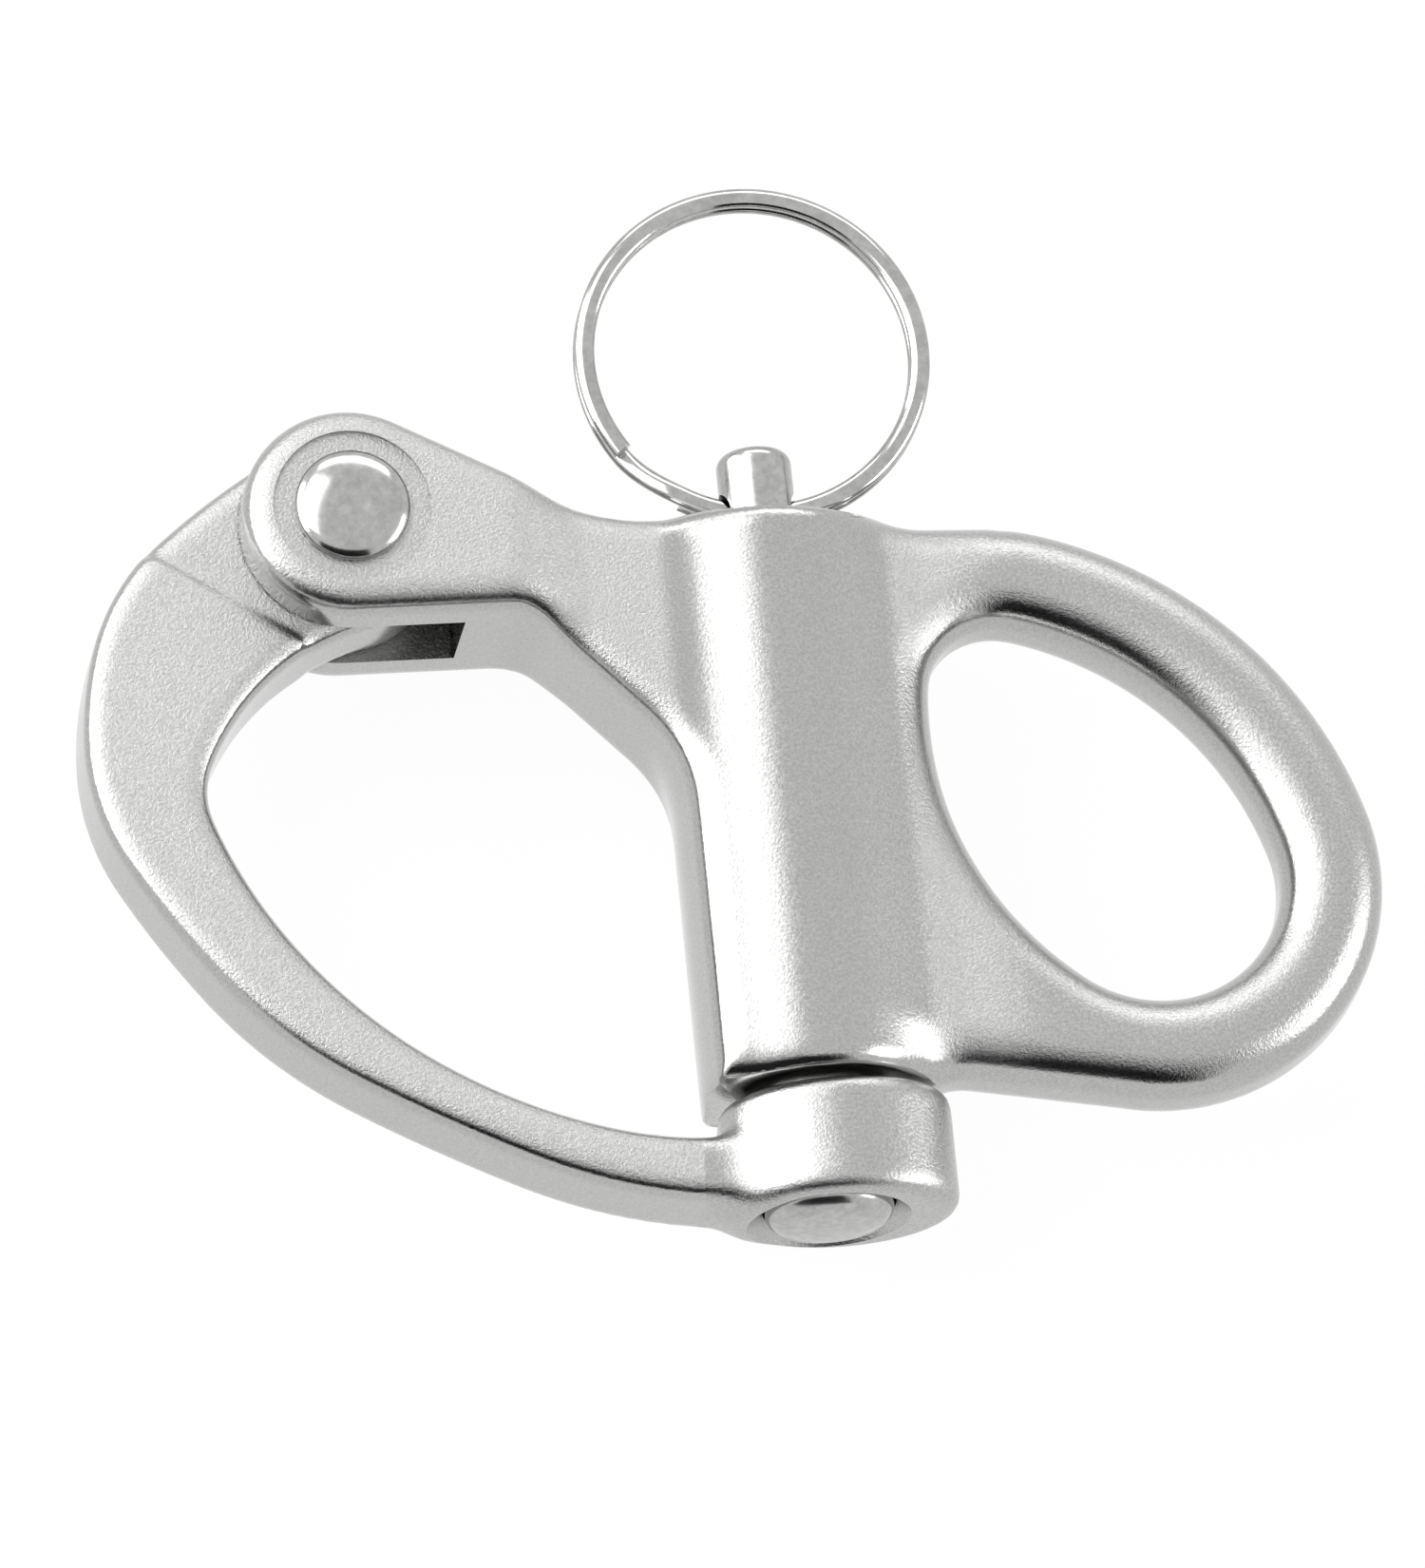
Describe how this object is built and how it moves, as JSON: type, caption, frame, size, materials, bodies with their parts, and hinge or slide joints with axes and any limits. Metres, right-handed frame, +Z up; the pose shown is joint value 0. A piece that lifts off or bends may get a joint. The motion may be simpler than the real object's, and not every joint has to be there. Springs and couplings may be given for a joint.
{
  "type": "snap shackle",
  "caption": "Fixed-eye snap shackle: forked body with plunger barrel and oval eye, hinged bow gate with lock eye, spring plunger and split pull ring.",
  "frame": {"origin": "bottom centre of the box round all the pieces, with the shackle lying flat on its barrel and rivet heads", "axes": "+X along the shackle from the gate's bow to the fixed eye, +Y along the plunger towards the pull ring, +Z up through the thickness"},
  "size_m": [0.0702, 0.06, 0.014],
  "materials": {
    "cast_body": "investment cast, satin grain on the flats, polished on the edges",
    "cast_gate": "investment cast, satin grain on the arm, polished lock eye",
    "rivet": "polished",
    "turned_pin": "turned and polished",
    "spring_wire": "drawn wire",
    "ring_wire": "polished wire"
  },
  "bodies": {
    "shackle": {"shackle_body": "cast_body", "hinge_rivet": "rivet", "plunger_spring": "spring_wire"},
    "gate_body": {"gate": "cast_gate"},
    "plunger_body": {"plunger": "turned_pin"},
    "ring_body": {"split_ring": "ring_wire"}
  },
  "joints": [
    {"name": "gate_swing", "type": "hinge", "parent": "shackle", "child": "gate_body", "pos_m": [-0.01982, 0.01057, 0.007], "axis": [0, 0, -1], "range_deg": [0, 110]},
    {"name": "plunger_pull", "type": "slide", "parent": "shackle", "child": "plunger_body", "axis": [0, 1, 0], "range_m": [0, 0.008], "stiffness_N_per_m": 1400, "springref_m": -0.004, "deforming": ["plunger_spring"]},
    {"name": "ring_swing", "type": "hinge", "parent": "plunger_body", "child": "ring_body", "pos_m": [0.00317, 0.01112, 0.007], "axis": [1, 0, 0], "range_deg": [-90, 90]}
  ]
}
